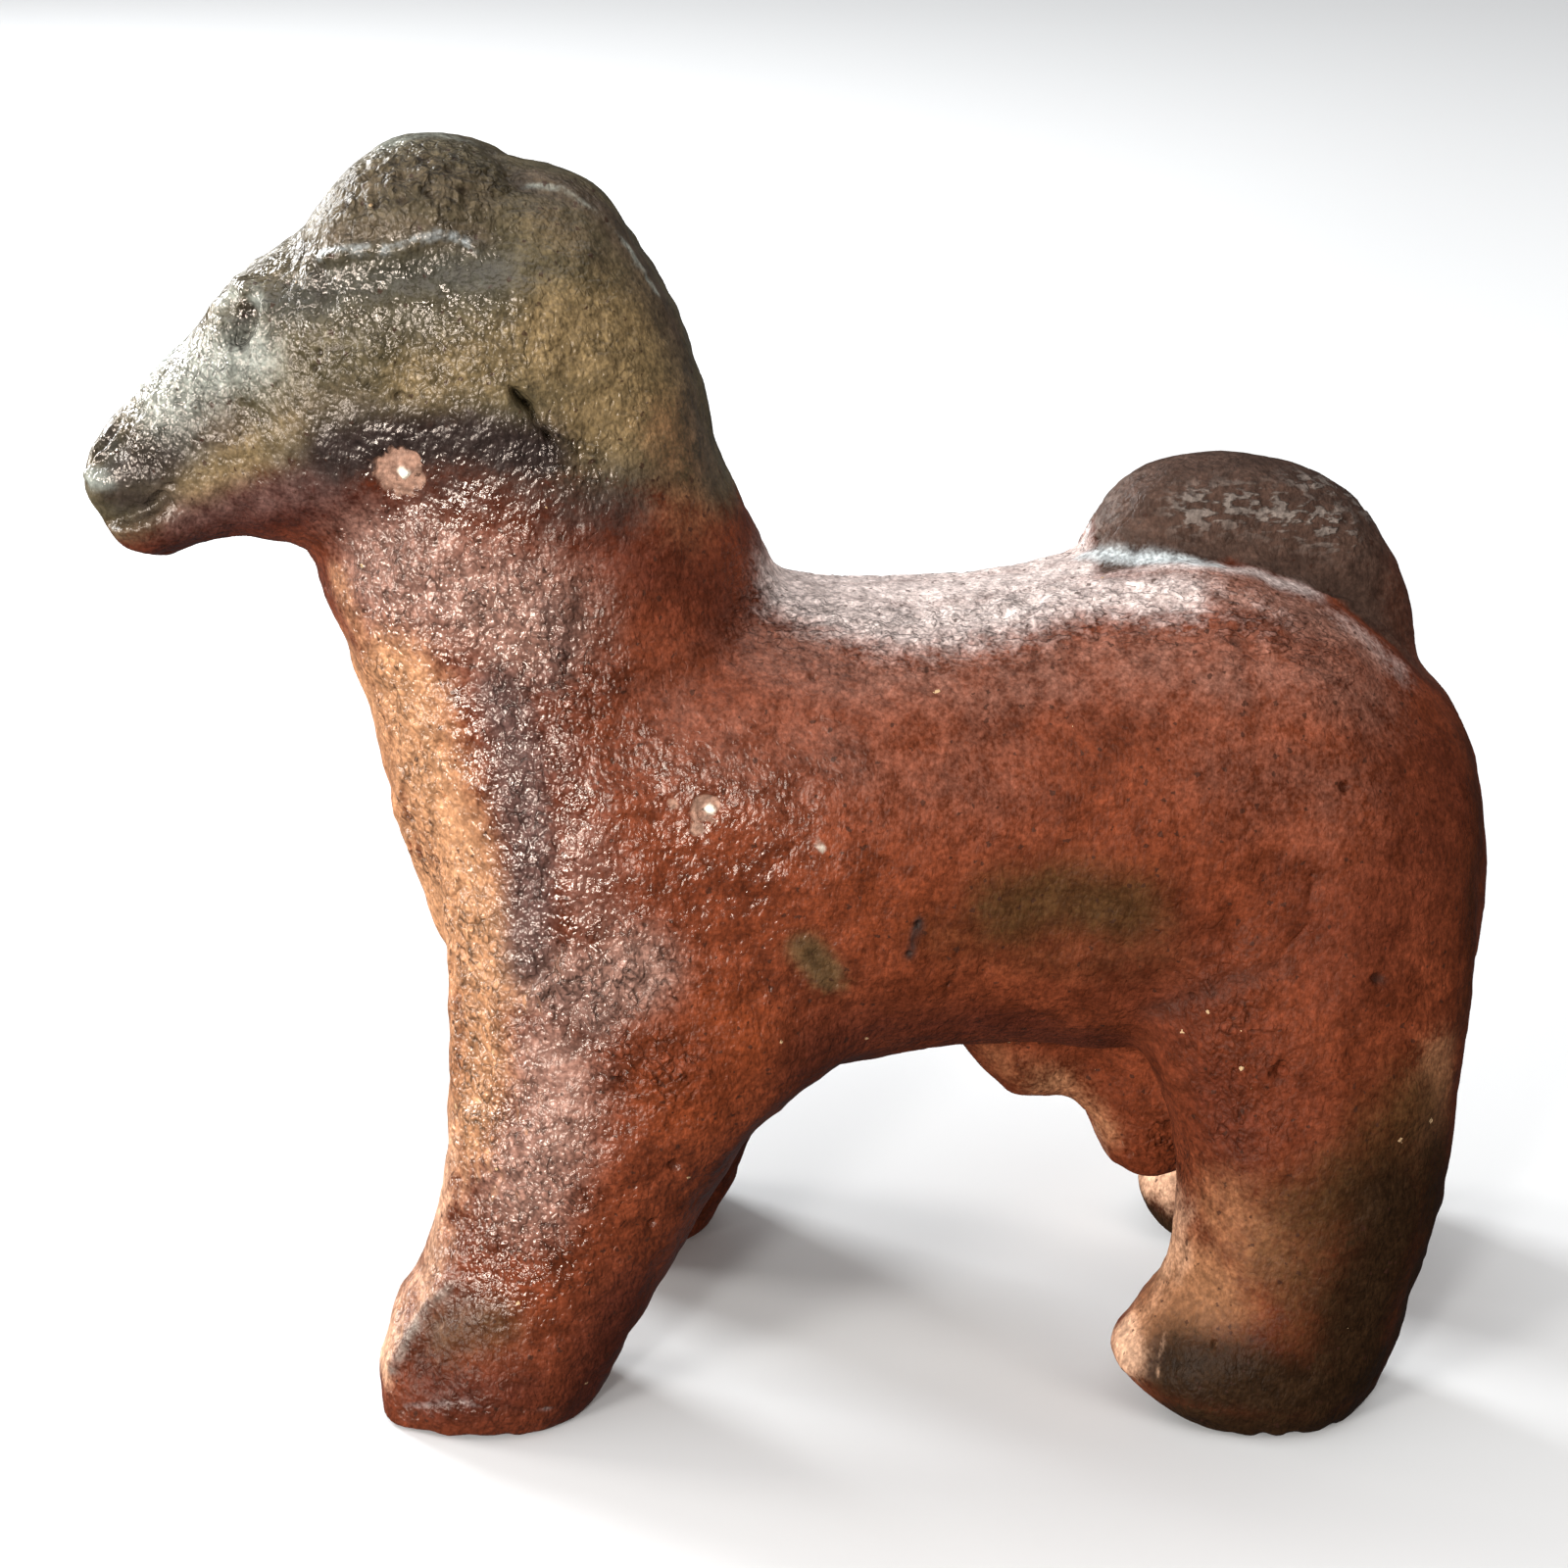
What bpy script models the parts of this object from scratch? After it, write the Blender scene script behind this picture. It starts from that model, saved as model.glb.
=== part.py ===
"""Hand-modelled pottery animal, a ram as it is named: one solid clay body on four thick legs.

Metres, +Z up, head towards -X, the near side towards -Y. The lumps are drawn as stations
in drawing units, drawn_length of them from muzzle to rump, and grow with the length.
"""

import bmesh
import bpy
import numpy as np

# Driving sizes, in metres
length = 0.1082  # from the muzzle to the back of the rump
body_width = 0.034  # across the barrel of the trunk
neck_width = 0.023  # across the neck at the height of the jaw
head_width = 0.016  # across the head at the cheeks
front_stance = 0.0280  # between the middles of the two front feet
hind_stance = 0.0275  # between the middles of the two hind feet
front_foot_width = 0.0160
hind_foot_width = 0.0164
front_step = 0.0086  # how far the far front foot stands behind the near one
hind_step = 0.0049  # how far the far hind foot stands behind the near one
tail_thickness = 0.0110
tail_lean = 0.0055  # the tail lies over to the far side by this much

# Drawing units, and how the clay is worked
drawn_length = 108.2
unit = length / drawn_length
clay_grain = 0.85 * unit  # size of the cells that the lumps are merged in
smoothing_rounds = 12
most_triangles = 9000
sole_merge = 0.02 * unit

near, far = -1, 1  # the sign of y on each side of the animal

bpy.context.scene.unit_settings.system = "METRIC"
for thing in list(bpy.data.objects):
    bpy.data.objects.remove(thing, do_unlink=True)


def collection(name, shown):
    made = bpy.data.collections.new(name)
    made.hide_render = not shown
    bpy.context.scene.collection.children.link(made)
    return made


figurine = collection("pottery_ram_figurine", shown=True)
lumps_of_clay = collection("lumps_of_clay", shown=False)


def smooth_run(stations, count):
    """The stations read at `count` even steps along a smooth curve through them all."""
    rows = np.array(stations, float)
    steps = np.linalg.norm(np.diff(rows[:, :3], axis=0), axis=1)
    at = np.concatenate([[0], np.cumsum(steps)])
    slopes = np.gradient(rows, at, axis=0)
    want = np.linspace(0, at[-1], count)
    left = np.clip(np.searchsorted(at, want) - 1, 0, len(at) - 2)
    gap = (at[left + 1] - at[left])[:, None]
    t = (want - at[left])[:, None] / gap
    return (
        (2 * t**3 - 3 * t**2 + 1) * rows[left]
        + (t**3 - 2 * t**2 + t) * gap * slopes[left]
        + (3 * t**2 - 2 * t**3) * rows[left + 1]
        + (t**3 - t**2) * gap * slopes[left + 1]
    )


def domed(run, first_dome, last_dome, rounds=5, tip=0.35):
    """The run with shrinking rings added past each end, so that it closes in a dome.

    The tip keeps the last ring open a little, and one flat face closes it.
    """
    ends = []
    for end, inner, dome in ((run[0], run[1], first_dome), (run[-1], run[-2], last_dome)):
        outward = end[:3] - inner[:3]
        outward = outward / np.linalg.norm(outward)
        rings = []
        for k in range(1, rounds + 1):
            turn = 0.5 * np.pi * k / (rounds + tip)
            ring = end.copy()
            ring[:3] += outward * dome * np.sin(turn)
            ring[3:5] *= np.cos(turn)
            rings.append(ring)
        ends.append(rings)
    return np.array(ends[0][::-1] + list(run) + ends[1])


def lump(name, stations, slices, domes=(4, 4), squareness=2.2, rings=26, sides=32):
    """A closed lump of clay lofted through stations of x, y, z, half depth and half width.

    Slices lie level, upright or across the path. The half depth is measured in the side
    view, the half width across the animal.
    """
    run = domed(smooth_run(stations, rings), *domes)
    turns = np.linspace(0, 2 * np.pi, sides, endpoint=False)
    deep = np.sign(np.cos(turns)) * np.abs(np.cos(turns)) ** (2 / squareness)
    wide = np.sign(np.sin(turns)) * np.abs(np.sin(turns)) ** (2 / squareness)
    along = np.gradient(run[:, :3], axis=0)
    across = np.array([0.0, 1.0, 0.0])
    shape = bmesh.new()
    rows = []
    for ring, way in zip(run, along):
        if slices == "level":
            depth_axis = np.array([1.0, 0.0, 0.0])
        elif slices == "upright":
            depth_axis = np.array([0.0, 0.0, 1.0])
        else:
            depth_axis = np.cross(across, way)
            depth_axis /= np.linalg.norm(depth_axis)
        places = (
            ring[:3]
            + np.outer(deep * ring[3], depth_axis)
            + np.outer(wide * ring[4], across)
        )
        rows.append([shape.verts.new(place * unit) for place in places])
    for low, high in zip(rows, rows[1:]):
        for k in range(sides):
            shape.faces.new((low[k], low[k - 1], high[k - 1], high[k]))
    shape.faces.new(rows[0])
    shape.faces.new(rows[-1][::-1])
    bmesh.ops.recalc_face_normals(shape, faces=shape.faces)
    mesh = bpy.data.meshes.new(name)
    shape.to_mesh(mesh)
    shape.free()
    made = bpy.data.objects.new(name, mesh)
    made.hide_render = True
    made.display_type = "WIRE"
    lumps_of_clay.objects.link(made)
    return made


def front_leg(side):
    """A front leg that reaches forward from the shoulder to a thick round foot."""
    middle = side * 0.5 * front_stance / unit
    width = 0.5 * front_foot_width / unit
    step = 0 if side == near else front_step / unit
    stations = [
        (-17.0, 0.30 * middle, 64.0, 10.0, 0.88 * width),
        (-15.0, 0.42 * middle, 56.0, 12.5, 1.03 * width),
        (-12.8, 0.53 * middle, 47.0, 14.2, 1.13 * width),
        (-11.4, 0.61 * middle, 39.0, 14.8, 1.17 * width),
        (-9.4, 0.67 * middle, 32.0, 16.8, 1.17 * width),
        (-11.2 + 0.15 * step, 0.72 * middle, 27.5, 14.9, 1.15 * width),
        (-13.5 + 0.35 * step, 0.77 * middle, 24.0, 12.6, 1.13 * width),
        (-14.9 + 0.55 * step, 0.82 * middle, 20.0, 11.3, 1.08 * width),
        (-16.5 + 0.70 * step, 0.87 * middle, 16.0, 10.6, 1.04 * width),
        (-18.5 + 0.82 * step, 0.92 * middle, 12.0, 10.1, 1.02 * width),
        (-20.5 + 0.88 * step, 0.96 * middle, 8.0, 9.9, 1.00 * width),
        (-22.2 + step, middle, 4.5, 9.5, 1.00 * width),
        (-23.2 + step, middle, 1.8, 9.3, 1.00 * width),
        (-23.4 + step, middle, 0.0, 8.7, 0.96 * width),
    ]
    return lump("front_leg", stations, "level", domes=(6, 2.5), squareness=2.1)


def hind_leg(side):
    """A hind leg: a full haunch, an upright shank and a foot whose toe points forward.

    The far foot stands a step further back and its toe is blunter.
    """
    middle = side * 0.5 * hind_stance / unit
    width = 0.5 * hind_foot_width / unit
    step = 0 if side == near else hind_step / unit
    blunt = 0 if side == near else 1.1
    stations = [
        (37.4, 0.38 * middle, 57.0, 8.0, 1.07 * width),
        (38.8, 0.49 * middle, 50.0, 11.2, 1.18 * width),
        (39.4, 0.58 * middle, 44.0, 13.0, 1.17 * width),
        (39.3 + 0.1 * step, 0.65 * middle, 38.0, 13.6, 1.16 * width),
        (39.8 + 0.3 * step, 0.73 * middle, 31.5, 12.9, 1.14 * width),
        (40.4 + 0.5 * step, 0.79 * middle, 25.6, 11.6, 1.11 * width),
        (41.0 + 0.7 * step, 0.85 * middle, 20.4, 10.7, 1.07 * width),
        (40.8 + 0.9 * step, 0.91 * middle, 14.7, 10.4, 1.03 * width),
        (39.4 + step, 0.96 * middle, 9.0, 10.1, 1.00 * width),
        (37.6 + step, middle, 5.4, 11.0, 1.00 * width),
        (36.7 + step, middle, 3.2, 11.3, 1.00 * width),
        (37.5 + step - blunt, middle, 0.8, 8.9 + blunt, 0.97 * width),
        (37.9 + step - blunt, middle, -0.8, 7.2 + blunt, 0.90 * width),
    ]
    return lump("hind_leg", stations, "level", domes=(6, 1.5), squareness=2.1)


def trunk():
    """The barrel of the body, which rises a little towards the rump."""
    half = 0.5 * body_width / unit
    stations = [
        (-16.0, 0, 44.0, 17.0, 0.90 * half),
        (-4.0, 0, 43.5, 19.6, 0.99 * half),
        (4.0, 0, 43.1, 19.1, 1.00 * half),
        (15.0, 0, 44.2, 18.4, 0.98 * half),
        (26.6, 0, 45.3, 19.6, 1.00 * half),
        (34.2, 0, 45.8, 19.6, 1.00 * half),
        (41.5, 0, 44.9, 17.5, 0.94 * half),
        (46.0, 0, 43.2, 16.0, 0.86 * half),
        (49.8, 0, 41.6, 13.6, 0.74 * half),
    ]
    return lump("trunk", stations, "upright", domes=(10, 5.5), squareness=2.25)


def neck():
    """Chest, throat and neck in one upright mass that narrows to the crown."""
    wide = 0.5 * neck_width / unit
    stations = [
        (-11.0, 0, 30.0, 14.8, 1.05 * wide),
        (-11.4, 0, 38.0, 16.9, 1.30 * wide),
        (-13.2, 0, 46.0, 16.9, 1.36 * wide),
        (-15.7, 0, 55.0, 16.7, 1.22 * wide),
        (-17.2, 0, 60.0, 17.0, 1.12 * wide),
        (-18.5, 0, 65.5, 16.9, 1.05 * wide),
        (-18.4, 0, 72.0, 13.7, 1.00 * wide),
        (-18.3, 0, 80.0, 11.5, 0.92 * wide),
        (-19.5, 0, 87.0, 9.5, 0.77 * wide),
        (-20.4, 0, 91.0, 7.6, 0.62 * wide),
    ]
    return lump("neck", stations, "level", domes=(6, 3.4), squareness=2.2)


def crest():
    """The flat-topped crest that runs from the crown down the back of the neck."""
    half = 0.13 * neck_width / unit
    stations = [
        (-20.0, 0, 93.0, 1.6, 1.00 * half),
        (-15.9, 0, 92.3, 1.8, 1.10 * half),
        (-12.5, 0, 88.1, 1.8, 1.15 * half),
        (-9.3, 0, 82.8, 1.8, 1.10 * half),
        (-7.4, 0, 77.5, 1.6, 0.95 * half),
        (-6.4, 0, 72.0, 1.2, 0.70 * half),
    ]
    return lump("crest", stations, "across", domes=(1.5, 2), squareness=3, sides=20)


def head():
    """A long wedge of a head that runs down from the crown to a small blunt muzzle."""
    wide = 0.5 * head_width / unit
    stations = [
        (-50.7, 0, 71.1, 4.2, 0.50 * wide),
        (-47.9, 0, 71.4, 6.8, 0.60 * wide),
        (-44.3, 0, 73.8, 7.8, 0.68 * wide),
        (-41.0, 0, 76.1, 9.5, 0.80 * wide),
        (-35.2, 0, 78.0, 12.0, 1.06 * wide),
        (-29.0, 0, 79.0, 13.3, 1.28 * wide),
        (-20.0, 0, 79.0, 13.0, 1.42 * wide),
    ]
    return lump("head", stations, "upright", domes=(2.2, 9), squareness=2.4)


def crown():
    """The lump laid back on top of the head, which overhangs the cheeks."""
    wide = 0.5 * head_width / unit
    stations = [
        (-33.0, 0, 89.1, 3.9, 0.82 * wide),
        (-29.5, 0, 90.9, 5.2, 0.96 * wide),
        (-25.0, 0, 91.6, 5.4, 0.98 * wide),
        (-21.0, 0, 91.1, 4.8, 0.86 * wide),
    ]
    return lump("crown", stations, "upright", domes=(3, 2), squareness=2.1, rings=16)


def tail():
    """A thick tail that curls up and forward and lies along the top of the rump."""
    half = 0.5 * tail_thickness / unit
    lean = tail_lean / unit
    stations = [
        (44.8, lean, 50.5, 4.0, half),
        (44.8, lean, 57.6, 4.6, half),
        (41.5, lean, 63.6, 5.0, half),
        (34.5, lean, 66.4, 5.4, half),
        (27.8, lean, 64.2, 4.8, half),
        (25.4, lean, 60.6, 3.2, 0.9 * half),
    ]
    return lump("tail", stations, "across", domes=(2, 1.5), squareness=2.3)


def sheath():
    """The sheath under the belly."""
    stations = [
        (14.6, -0.5, 26.8, 3.2, 3.2),
        (17.7, -0.5, 24.0, 4.2, 3.8),
        (23.0, -0.5, 23.6, 4.2, 3.8),
    ]
    return lump("sheath", stations, "upright", domes=(2, 2), rings=12, sides=20)


def scrotum():
    """The pair of lumps that hang between the thighs."""
    stations = [
        (29.2, -0.5, 27.0, 6.8, 5.0),
        (29.3, -0.5, 20.0, 5.8, 5.4),
        (29.7, -0.5, 15.4, 4.6, 4.6),
    ]
    return lump("scrotum", stations, "level", domes=(2, 3), rings=12, sides=20)


def toe(side):
    """The knob at the tip of a front foot."""
    middle = side * 0.5 * front_stance / unit
    width = 0.5 * front_foot_width / unit
    step = 0 if side == near else front_step / unit
    stations = [
        (-28.2 + step, middle, 7.6, 2.9, 0.62 * width),
        (-28.4 + step, middle, 4.4, 3.1, 0.76 * width),
        (-28.9 + step, middle, 0.6, 3.2, 0.84 * width),
    ]
    return lump("toe", stations, "level", domes=(2, 2), squareness=2.8, rings=8, sides=24)


lumps = [trunk(), neck(), crest(), head(), crown(), tail(), sheath(), scrotum()]
for side in (near, far):
    lumps += [front_leg(side), hind_leg(side), toe(side)]


def evaluated_mesh(thing):
    graph = bpy.context.evaluated_depsgraph_get()
    return bpy.data.meshes.new_from_object(thing.evaluated_get(graph))


def pressed_together(pieces):
    """All the lumps in one skin, with the joins rubbed over as a thumb would."""
    shape = bmesh.new()
    for piece in pieces:
        shape.from_mesh(piece.data)
    mesh = bpy.data.meshes.new("ram_figurine")
    shape.to_mesh(mesh)
    shape.free()
    body = bpy.data.objects.new("ram_figurine", mesh)
    figurine.objects.link(body)
    skin = body.modifiers.new("one skin", "REMESH")
    skin.mode = "VOXEL"
    skin.voxel_size = clay_grain
    rub = body.modifiers.new("rubbed joins", "SMOOTH")
    rub.factor = 0.5
    rub.iterations = smoothing_rounds
    body.data = evaluated_mesh(body)
    body.modifiers.clear()
    return body


def distance_to(points, line):
    """How far each point lies from a point, or from a line through several corners."""
    nearest = np.linalg.norm(points - np.array(line[0], float), axis=1)
    for start, end in zip(line, line[1:]):
        start, end = np.array(start, float), np.array(end, float)
        run = end - start
        share = np.clip((points - start) @ run / (run @ run), 0, 1)
        gap = np.linalg.norm(points - start - share[:, None] * run, axis=1)
        nearest = np.minimum(nearest, gap)
    return nearest


def tool_marks():
    """Each mark of a finger or a stick: its line, its reach and how far it lifts the clay."""
    cheek = 0.5 * head_width / unit
    valley = tail_lean / unit - 0.5 * tail_thickness / unit - 0.7
    marks = []
    for side in (near, far):
        eye = [(-39.8, side * 0.55 * cheek, 84.3)]
        nostril = [(-51.2, side * 0.40 * cheek, 73.4), (-49.2, side * 0.45 * cheek, 75.2)]
        mouth = [
            (-52.0, 0, 68.9),
            (-50.2, side * 0.50 * cheek, 69.1),
            (-45.6, side * 0.62 * cheek, 70.9),
        ]
        lip = [(-49.2, side * 0.30 * cheek, 66.8), (-46.5, side * 0.50 * cheek, 67.4)]
        crown_edge = [(-34.0, side * 0.82 * cheek, 88.6), (-23.5, side * 0.97 * cheek, 90.6)]
        under_crown = [(-34.5, side * 0.95 * cheek, 86.6), (-23.5, side * 1.06 * cheek, 88.8)]
        marks += [
            (eye, 2.3, 0.55),
            (eye, 1.0, -1.0),
            (nostril, 0.9, -0.7),
            (mouth, 0.9, -0.85),
            (lip, 1.2, 0.35),
            (crown_edge, 1.0, 0.30),
            (under_crown, 1.5, -0.35),
        ]
    beside_tail = [
        (25.0, valley, 63.2),
        (34.0, valley, 64.6),
        (41.5, valley, 61.4),
        (46.0, valley + 0.6, 57.0),
        (48.0, valley + 1.2, 52.5),
    ]
    stick_mark = [(-19.2, near * 1.10 * cheek, 80.4), (-16.9, near * 1.20 * cheek, 77.1)]
    return marks + [(beside_tail, 1.6, -0.8), (stick_mark, 0.9, -0.6)]


def tooled(body):
    """Presses and raises the tool marks in the skin."""
    mesh = body.data
    points = np.empty(3 * len(mesh.vertices))
    outward = np.empty(3 * len(mesh.vertices))
    mesh.vertices.foreach_get("co", points)
    mesh.vertices.foreach_get("normal", outward)
    points = points.reshape(-1, 3) / unit
    outward = outward.reshape(-1, 3)
    lift = np.zeros(len(points))
    for line, reach, rise in tool_marks():
        lift += rise * np.exp(-((distance_to(points, line) / reach) ** 2))
    points = (points + lift[:, None] * outward) * unit
    mesh.vertices.foreach_set("co", points.ravel())
    mesh.update()


def thinned(body):
    """The body with few enough triangles, kept where the form turns most."""
    faces = 2 * len(body.data.polygons)
    fewer = body.modifiers.new("fewer faces", "DECIMATE")
    fewer.ratio = min(1.0, most_triangles / faces)
    fewer.use_collapse_triangulate = True
    body.data = evaluated_mesh(body)
    body.modifiers.clear()


def flat_soles(body):
    """The feet cut level, so that all four soles lie on the ground."""
    shape = bmesh.new()
    shape.from_mesh(body.data)
    bmesh.ops.bisect_plane(
        shape,
        geom=shape.verts[:] + shape.edges[:] + shape.faces[:],
        dist=sole_merge,
        plane_co=(0, 0, 0),
        plane_no=(0, 0, 1),
        clear_inner=True,
    )
    for vert in shape.verts:
        if vert.co.z < sole_merge:
            vert.co.z = 0
    open_edges = [edge for edge in shape.edges if edge.is_boundary]
    bmesh.ops.holes_fill(shape, edges=open_edges)
    bmesh.ops.triangulate(shape, faces=shape.faces)
    bmesh.ops.recalc_face_normals(shape, faces=shape.faces)
    shape.to_mesh(body.data)
    shape.free()


def stood_on_origin(body):
    """Moves the body so that the middle of its footprint is the origin, and says how far."""
    points = np.empty(3 * len(body.data.vertices))
    body.data.vertices.foreach_get("co", points)
    points = points.reshape(-1, 3)
    moved = -0.5 * (points.min(axis=0) + points.max(axis=0))
    moved[2] = -points[:, 2].min()
    body.data.vertices.foreach_set("co", (points + moved).ravel())
    body.data.update()
    return moved


def fired_clay():
    """Burnished red-brown pottery with a slight gloss."""
    material = bpy.data.materials.new("fired_clay")
    material.use_nodes = True
    shader = material.node_tree.nodes["Principled BSDF"]
    shader.inputs["Base Color"].default_value = (0.19, 0.062, 0.030, 1)
    shader.inputs["Roughness"].default_value = 0.42
    shader.inputs["Metallic"].default_value = 0.0
    return material


body = pressed_together(lumps)
tooled(body)
thinned(body)
flat_soles(body)
placed_shift = stood_on_origin(body)
body.data.materials.clear()
body.data.materials.append(fired_clay())
body.data.shade_smooth()
body.data.set_sharp_from_angle(angle=np.radians(50))
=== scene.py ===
import math

import bmesh
import bpy
import numpy as np
from mathutils import Matrix, Vector
from mathutils.bvhtree import BVHTree


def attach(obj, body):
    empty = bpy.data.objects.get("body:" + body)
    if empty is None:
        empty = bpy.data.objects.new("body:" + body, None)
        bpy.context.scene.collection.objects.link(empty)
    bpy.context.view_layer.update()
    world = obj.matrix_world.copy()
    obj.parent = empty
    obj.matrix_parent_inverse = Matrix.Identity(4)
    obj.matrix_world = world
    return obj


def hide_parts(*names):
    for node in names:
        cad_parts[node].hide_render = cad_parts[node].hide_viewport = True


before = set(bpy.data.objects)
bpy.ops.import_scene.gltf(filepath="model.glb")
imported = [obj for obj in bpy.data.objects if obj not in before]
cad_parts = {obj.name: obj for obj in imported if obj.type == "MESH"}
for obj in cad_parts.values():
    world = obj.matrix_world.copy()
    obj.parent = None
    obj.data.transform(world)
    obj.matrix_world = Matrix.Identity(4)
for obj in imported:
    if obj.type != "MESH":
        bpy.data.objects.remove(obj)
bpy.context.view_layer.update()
scene = bpy.context.scene
mm = 0.001

# Camera. It looks square at the animal's near side and a little down on it, from 25 cm
# away, as a hand-held camera does over a table. The pixels below are those of its picture.
picture_side = 1600
pixels_per_mm = 13.04
camera_reach = 250
looks_down = math.radians(22)
looks_at = np.array([-1.34, 0.0, 46.2])

across = np.array([1.0, 0.0, 0.0])
ahead = np.array([0.0, math.cos(looks_down), -math.sin(looks_down)])
upward = np.array([0.0, math.sin(looks_down), math.cos(looks_down)])
lens_place = looks_at - camera_reach * ahead

camera = bpy.data.objects.new("camera", bpy.data.cameras.new("camera"))
scene.collection.objects.link(camera)
scene.camera = camera
camera.location = lens_place * mm
camera.rotation_euler = (math.pi / 2 - looks_down, 0, 0)
camera.data.sensor_width = 36
camera.data.lens = camera.data.sensor_width * pixels_per_mm * camera_reach / picture_side
camera.data.clip_start = 0.01

# Ram figurine. One solid lump of iron-rich clay, modelled by hand, rubbed smooth and
# fired in an open hearth, which left it red, khaki and smoky. The body carries the joins
# that fingers pressed, pits, cracks, chips and the crust that it took up in the ground.
skin_grain = 0.33
most_triangles = 192000

cad_skin = bmesh.new()
cad_skin.from_mesh(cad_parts["ram_figurine"].data)
bmesh.ops.remove_doubles(cad_skin, verts=cad_skin.verts, dist=0.001 * mm)
bmesh.ops.scale(cad_skin, vec=(1 / mm,) * 3, verts=cad_skin.verts)
solid_form = BVHTree.FromBMesh(cad_skin)
figurine_mesh = bpy.data.meshes.new("clay_body")
cad_skin.to_mesh(figurine_mesh)
cad_skin.free()
figurine = bpy.data.objects.new("clay_body", figurine_mesh)
scene.collection.objects.link(figurine)


def settled(thing):
    """Puts the result of the live modifiers in the mesh."""
    graph = bpy.context.evaluated_depsgraph_get()
    thing.data = bpy.data.meshes.new_from_object(thing.evaluated_get(graph))
    thing.modifiers.clear()


# The solid's facets are rounded off, and its skin gets an even, fine grain.
rounding = figurine.modifiers.new("rounding", "SUBSURF")
rounding.levels = rounding.render_levels = 1
skin = figurine.modifiers.new("even skin", "REMESH")
skin.mode = "VOXEL"
skin.voxel_size = skin_grain
rub = figurine.modifiers.new("rub", "SMOOTH")
rub.factor = 0.5
rub.iterations = 4
settled(figurine)


def seen_at(*pixels):
    """The places on the near side of the body that show at these pixels, in millimetres."""
    places = []
    for x, y in pixels:
        right = (x - picture_side / 2) / (pixels_per_mm * camera_reach)
        high = (picture_side / 2 - y) / (pixels_per_mm * camera_reach)
        way = Vector(ahead + right * across + high * upward)
        hit = solid_form.ray_cast(Vector(lens_place), way)[0]
        if hit is None:
            hit = solid_form.find_nearest(Vector(lens_place) + camera_reach * way)[0]
        places.append(np.array(hit))
    return np.array(places)


def distance_to(points, line):
    """How far each point lies from a place, or from a line through several places."""
    nearest = np.linalg.norm(points - line[0], axis=1)
    for start, end in zip(line, line[1:]):
        run = end - start
        share = np.clip((points - start) @ run / (run @ run), 0, 1)
        nearest = np.minimum(nearest, np.linalg.norm(points - start - share[:, None] * run, axis=1))
    return nearest


def eased(value, low, high):
    """0 below low, 1 above high, and a smooth turn between."""
    share = np.clip((value - low) / (high - low), 0, 1)
    return share * share * (3 - 2 * share)


def uneven(points, size, seed):
    """Random ups and downs of that size in millimetres, mostly between -1 and 1."""
    cells, swing = 48, 1.7
    lattice = np.random.default_rng(seed).uniform(-swing, swing, (cells,) * 3).astype(np.float32)
    cell = np.floor(points / size).astype(np.int32)
    share = points / size - cell
    share = share * share * (3 - 2 * share)
    total = np.zeros(len(points))
    for corner in np.ndindex(2, 2, 2):
        weight = np.prod(np.where(corner, share, 1 - share), axis=1)
        i, j, k = ((cell + corner) % cells).T
        total += weight * lattice[i, j, k]
    return total


def close_to(points, line, reach):
    """The numbers of the points that a mark of that reach along the line can touch."""
    low, high = line.min(axis=0) - 3 * reach, line.max(axis=0) + 3 * reach
    return np.flatnonzero(((points > low) & (points < high)).all(axis=1))


def patch(points, pixels, spread):
    """1 along a line drawn on the near side, a third at the spread away, and then 0."""
    steepness = 2.3
    line = seen_at(*pixels)
    here = close_to(points, line, spread)
    much = np.zeros(len(points))
    much[here] = np.exp(-((distance_to(points[here], line) / spread) ** steepness))
    return much


def strongest(points, strokes):
    """The strongest of the patches, each a line of pixels, a spread and a strength."""
    patches = [much * patch(points, pixels, spread) for pixels, spread, much in strokes]
    return np.maximum.reduce(patches)


# The groove beside the tail: places along the body, and its height at each, in millimetres.
tail_groove = ([23.7, 32.7, 40.2, 44.7, 46.7], [63.0, 64.6, 61.4, 57.0, 52.5])


def wrinkled_at(points):
    """How wrinkled the skin is, where wet clay was pushed and dragged."""
    dragged = [
        ([(560, 1000), (600, 1020), (650, 990)], 4.0, 1.0),
        ([(640, 1090), (690, 1090)], 3.4, 0.8),
        ([(500, 1120), (560, 1200), (540, 1260)], 5.0, 0.8),
        ([(520, 700), (540, 800), (540, 900)], 2.8, 0.8),
        ([(400, 600), (470, 600), (540, 620), (560, 680)], 5.0, 0.8),
        ([(1255, 1030), (1270, 1060), (1260, 1150)], 4.0, 0.6),
        ([(1190, 1160), (1215, 1190)], 2.6, 0.7),
        ([(440, 880), (480, 960), (486, 1060), (478, 1150)], 4.0, 1.0),
        ([(430, 1390), (500, 1430)], 4.0, 0.3),
        ([(390, 700), (420, 780), (430, 840)], 3.6, 0.8),
        ([(150, 430), (230, 370), (300, 260)], 3.6, 0.7),
        ([(560, 450), (600, 470)], 2.6, 0.8),
        ([(370, 190), (420, 165), (480, 185)], 4.6, 1.0),
        ([(340, 350), (420, 370), (560, 360)], 3.6, 0.5),
        ([(600, 300), (640, 400)], 3.0, 0.45),
        ([(810, 615), (880, 640), (980, 638), (1060, 615)], 3.6, 0.6),
    ]
    return strongest(points, dragged)


def back_crust(points):
    """Thin flakes of crust along the top of the back."""
    top = [(800, 625), (880, 640), (1000, 636), (1100, 622), (1230, 620), (1340, 650)]
    return patch(near_side(points), top, 4.6)


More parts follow.
